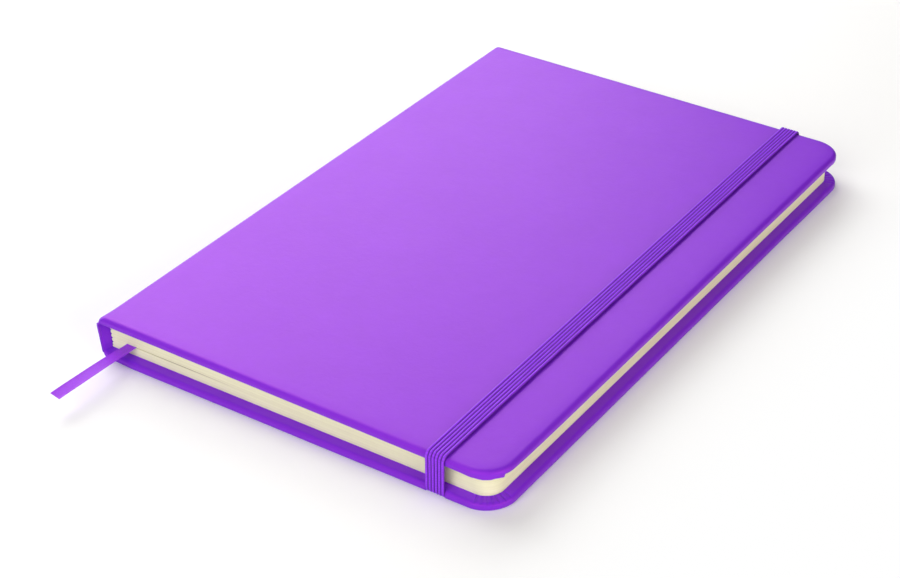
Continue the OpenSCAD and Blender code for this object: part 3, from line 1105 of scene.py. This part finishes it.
# %% [markdown]
# ## The elastic
#
# The strap comes out of a slit under the back cover, lies in its channel, goes up over the edge,
# across the front cover and down the other side. It isn't quite straight: towards the head it
# drifts to the spine by a millimetre. Its path is drawn along the inner side of the strap, as
# straight runs joined by arcs, and the ribbed section is swept along it.

# %% Path of the elastic
strap_w, strap_t, strap_ribs = 6.1, 0.8, 6
strap_air, strap_lift = 0.05, 0.15
drift_at_tail, drift_at_head = 0.1, -1.0
strap_x = hinge_x + strap_from_hinge
cover_falls = strap_from_hinge * math.tan(lean)
strap_top = half_t + hinges["front_hinge"].z - cover_falls + strap_air / 2
bend_r = 1.1 + strap_air
side_y = half_h + strap_air
slit_y, slit_r = half_h - 16, 0.3
inside_r, inside_z = 0.9, 1.2
glued_length = 15


def arc(centre, radius, start, end, count):
    """Points and outward directions on an arc, in the plane across the fore edge."""
    outs = [Vector(cos_sin(angle)) for angle in steps(start, end, count)]
    return [(Vector(centre) + radius * out, out) for out in outs]


def half_strap_path():
    """From the middle of the front cover to the glued end, as (place, outward) pairs.

    The last arc turns the other way, so its radius is negative.
    """
    path = []
    over, under = side_y - bend_r, strap_t + bend_r
    for y in steps(0, over - 0.5, 80):
        lift = strap_lift * smooth(over, side_y - 25, y)
        path.append((Vector((y, strap_top + lift)), Vector((0, 1))))
    path += arc((over, strap_top - bend_r), bend_r, 90, 0, 12)
    down = steps(strap_top - bend_r, under, 10)[1:-1]
    path += [(Vector((side_y, z)), Vector((1, 0))) for z in down]
    path += arc((over, under), bend_r, 0, -90, 12)
    back = steps(over, slit_y + slit_r, 14)[1:]
    path += [(Vector((y, strap_t)), Vector((0, -1))) for y in back]
    path += arc((slit_y + slit_r, strap_t + slit_r), slit_r, -100, -180, 6)
    glued_y = slit_y - strap_t - 0.1
    path += arc((glued_y, inside_z), -inside_r, 180, 270, 6)
    path.append((Vector((glued_y - glued_length, inside_z + inside_r)), Vector((0, -1))))
    return path


half_path = half_strap_path()
print("points on half of the strap:", len(half_path))

# %% [markdown]
# The section has six round ribs on its outer side and is flat on the inner side. On the top run
# the strap follows the slope of the front cover, so it is tilted there by the cover's lean.

# %% Elastic mesh
def strap_section():
    """Points round the section: across the width, and out from the inner side."""
    rib_w, half_w = strap_w / strap_ribs, strap_w / 2
    points = []
    for rib in range(strap_ribs):
        middle = (rib - (strap_ribs - 1) / 2) * rib_w
        for cos, sin in map(cos_sin, steps(180, 0, 10)):
            points.append((middle + rib_w * 0.48 * cos, strap_t - rib_w * 0.46 * (1 - sin)))
    under = [(half_w * 0.975, 0.22), (half_w * 0.94, 0.08), (half_w * 0.88, 0)]
    return points + under + [(-across, height) for across, height in reversed(under)]


def drift(y, z):
    """How far the strap lies off its straight line: not at all under the back cover."""
    on_top = lerp(drift_at_tail, drift_at_head, (y + side_y) / (2 * side_y))
    return on_top * smooth(1.5, strap_top - 1.5, z)


def strap_piece():
    section = strap_section()
    other_half = [(Vector((-p.x, p.y)), Vector((-o.x, o.y))) for p, o in half_path[1:]]
    path = other_half[::-1] + half_path
    points, strip, travelled = [], [], 0.0
    for i, (place, out) in enumerate(path):
        if i:
            travelled += (place - path[i - 1][0]).length
        tilt = -math.tan(lean) * max(0.0, out.y)
        for across, height in section:
            flat = place + out * height
            x = across + drift(flat.x, flat.y)
            points.append(Vector((strap_x + x, flat.x, flat.y + tilt * x)))
            strip.append((across, travelled, height))
    faces = sweep_faces(len(path), len(section), turned=True)
    print(f"elastic: {travelled:.0f} long, ends included")
    return mesh_piece("elastic_strap", points, faces, [elastic_finish], strip, sharp_degrees=70)


strap = strap_piece()

# %% [markdown]
# The strap is fixed to the back cover. Before the front cover is opened the real strap is slipped
# off. Here the strap is attached to the back cover in place of the solid elastic, and gets a mesh
# of its own.

# %% Attach the elastic to the back cover
stands_for(strap, "back_cover", "elastic_band")
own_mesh(strap)

# %% [markdown]
# ## Table, light and background
#
# The notebook lies on a white table. To the camera the table and the sky are plain white, which
# their own colour and the Is Camera Ray switch give, not more light. The table fades into that
# white far from the notebook, and at once past its fore edge, where that white is painted over
# the notebook's shadow so that only a narrow shadow shows.

# %% Table
WHITE = (1.0, 1.0, 1.0)
TABLE = (0.93, 0.93, 0.93)
table_glow = 0.09
table_half = 4.0
fore_fade, far_fade = (0.062, 0.115), (0.40, 0.80)  # metres from the middle


def table_finish():
    finish = Finish("table_white", Roughness=0.9, Specular_IOR_Level=0.1)
    finish.colour(TABLE)
    lit = Wire(finish, finish.shader.outputs[0])
    ray = finish.add("ShaderNodeLightPath", {}, {}, "Is Camera Ray")
    glow = finish.add("ShaderNodeEmission", {}, {"Color": WHITE, "Strength": table_glow})
    both = finish.add("ShaderNodeAddShader", {}, {0: lit, 1: glow})
    seen = finish.add("ShaderNodeMixShader", {}, {0: ray, 1: lit, 2: both})
    white = finish.add("ShaderNodeEmission", {}, {"Color": WHITE, "Strength": 1.0})
    place = finish.place()
    away = finish.add("ShaderNodeVectorMath", {"operation": "LENGTH"}, {0: place}, "Value")
    far = finish.between(away, *far_fade, slope="SMOOTHSTEP")
    # painted light: past the fore edge the table turns white over the notebook's shadow
    white_painted_past_fore_edge = finish.between(finish.axis(place, "X"), *fore_fade, slope="SMOOTHSTEP")
    bare = white_painted_past_fore_edge.math("MAXIMUM", far)
    seen = finish.add("ShaderNodeMixShader", {}, {0: bare * ray, 1: seen, 2: white})
    finish.feed(finish.nodes["Material Output"].inputs["Surface"], seen)
    return finish.material


table_mesh = bpy.data.meshes.new("table")
corners = [(x * table_half, y * table_half, 0) for x, y in ((-1, -1), (1, -1), (1, 1), (-1, 1))]
table_mesh.from_pydata(corners, [], [(0, 1, 2, 3)])
table_mesh.materials.append(table_finish())
table = linked("table", table_mesh)
table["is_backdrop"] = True
print("table", 2 * table_half, "m wide")

# %% [markdown]
# A wide window behind the spine, in two strips, gives the sheen on the cover and the soft shadow
# in front of the tail. A lamp at the upper left and two pale cards, in front and at the right,
# fill the edges that face the camera. The sky itself gives almost no light.

# %% Light
CARD = (1.0, 0.93, 0.84)
sky_light = 0.01


def softbox(name, towards_light, distance, size, watts, colour=WHITE):
    data = bpy.data.lights.new(name, "AREA")
    data.shape, data.size, data.size_y = "RECTANGLE", *size
    data.energy, data.color = watts, colour
    direction = Vector(towards_light).normalized()
    lamp_turn = direction.to_track_quat("Z", "Y").to_matrix().to_4x4()
    linked(name, data).matrix_world = Matrix.Translation(direction * distance) @ lamp_turn


softbox("window_light", (-0.70, 0.47, 0.53), 0.80, (1.0, 0.35), 4.5)
softbox("window_low", (-0.83, 0.40, 0.38), 0.80, (1.0, 0.35), 1.3)
softbox("left_above", (-0.60, 0.10, 0.80), 0.90, (0.5, 0.5), 2.7)
softbox("front_card", (0.05, -0.86, 0.50), 1.00, (0.7, 0.7), 5.5)
softbox("right_card", (0.91, -0.20, 0.36), 1.00, (0.8, 0.4), 5.3, CARD)

world = bpy.data.worlds.new("sky")
bpy.context.scene.world = world
world.use_nodes = True
sky = NodeMaker(world.node_tree)
background = sky.nodes["Background"]
ray = sky.add("ShaderNodeLightPath", {}, {}, "Is Camera Ray")
sky.feed(background.inputs["Color"], WHITE)
sky.feed(background.inputs["Strength"], ray * (1 - sky_light) + sky_light)
bpy.context.scene.view_settings.view_transform = "Standard"
print("lit by", len(bpy.data.lights), "lamps")

# %% [markdown]
# ## Measuring up
#
# Both boxes, of the solids and of the finished look, are printed in millimetres, so that they can
# be compared.

# %% Finish
look_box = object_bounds()
boxes = {"cad": [list(corner) for corner in solid_box], "look": [list(corner) for corner in look_box]}
for name, (low, high) in boxes.items():
    print(name, [round((b - a) / MM, 2) for a, b in zip(low, high)])
